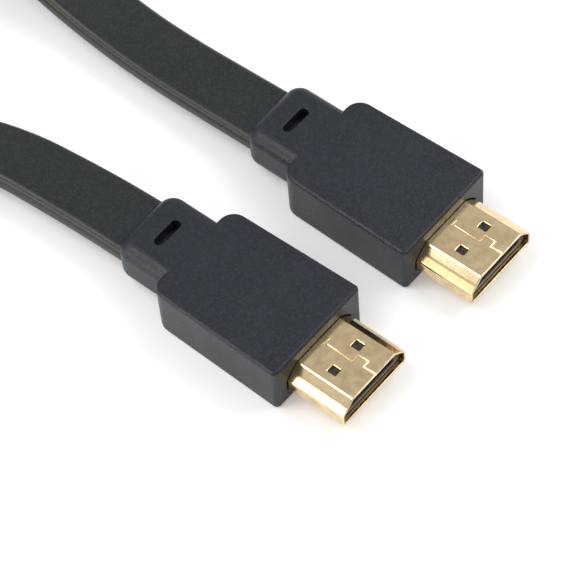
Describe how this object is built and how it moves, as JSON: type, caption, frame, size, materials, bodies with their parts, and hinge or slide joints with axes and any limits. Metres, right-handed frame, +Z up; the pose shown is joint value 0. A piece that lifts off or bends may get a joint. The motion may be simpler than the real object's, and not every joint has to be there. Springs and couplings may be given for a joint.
{
  "type": "hdmi cable",
  "caption": "Flat black video lead with a moulded plug and gold-plated shell on each end, its spare length wound in a round coil.",
  "frame": {"origin": "on the floor under the middle of the box around both plugs, without the free cord", "axes": "+X the way both plugs push in, +Z up, +Y from plug a to plug b"},
  "size_m": [0.2134, 0.1137, 0.0155],
  "materials": {
    "grip": "moulded PVC, fine satin grain",
    "gold_shell": "bright gold plating on folded sheet metal",
    "gold_contact": "gold plating",
    "insulator": "moulded, matt black",
    "cord": "flat extruded PVC jacket, matt with a fine grain"
  },
  "bodies": {
    "root": {"grip_a": "grip", "shell_a": "gold_shell", "insulator_a": "insulator", "contact_a_lower_1": "gold_contact", "contact_a_lower_2": "gold_contact", "contact_a_lower_3": "gold_contact", "contact_a_lower_4": "gold_contact", "contact_a_lower_5": "gold_contact", "contact_a_lower_6": "gold_contact", "contact_a_lower_7": "gold_contact", "contact_a_lower_8": "gold_contact", "contact_a_lower_9": "gold_contact", "contact_a_lower_10": "gold_contact", "contact_a_upper_1": "gold_contact", "contact_a_upper_2": "gold_contact", "contact_a_upper_3": "gold_contact", "contact_a_upper_4": "gold_contact", "contact_a_upper_5": "gold_contact", "contact_a_upper_6": "gold_contact", "contact_a_upper_7": "gold_contact", "contact_a_upper_8": "gold_contact", "contact_a_upper_9": "gold_contact", "grip_b": "grip", "shell_b": "gold_shell", "insulator_b": "insulator", "contact_b_lower_1": "gold_contact", "contact_b_lower_2": "gold_contact", "contact_b_lower_3": "gold_contact", "contact_b_lower_4": "gold_contact", "contact_b_lower_5": "gold_contact", "contact_b_lower_6": "gold_contact", "contact_b_lower_7": "gold_contact", "contact_b_lower_8": "gold_contact", "contact_b_lower_9": "gold_contact", "contact_b_lower_10": "gold_contact", "contact_b_upper_1": "gold_contact", "contact_b_upper_2": "gold_contact", "contact_b_upper_3": "gold_contact", "contact_b_upper_4": "gold_contact", "contact_b_upper_5": "gold_contact", "contact_b_upper_6": "gold_contact", "contact_b_upper_7": "gold_contact", "contact_b_upper_8": "gold_contact", "contact_b_upper_9": "gold_contact", "cord_a": "cord", "cord_b": "cord", "cord_coil": "cord"}
  },
  "joints": []
}
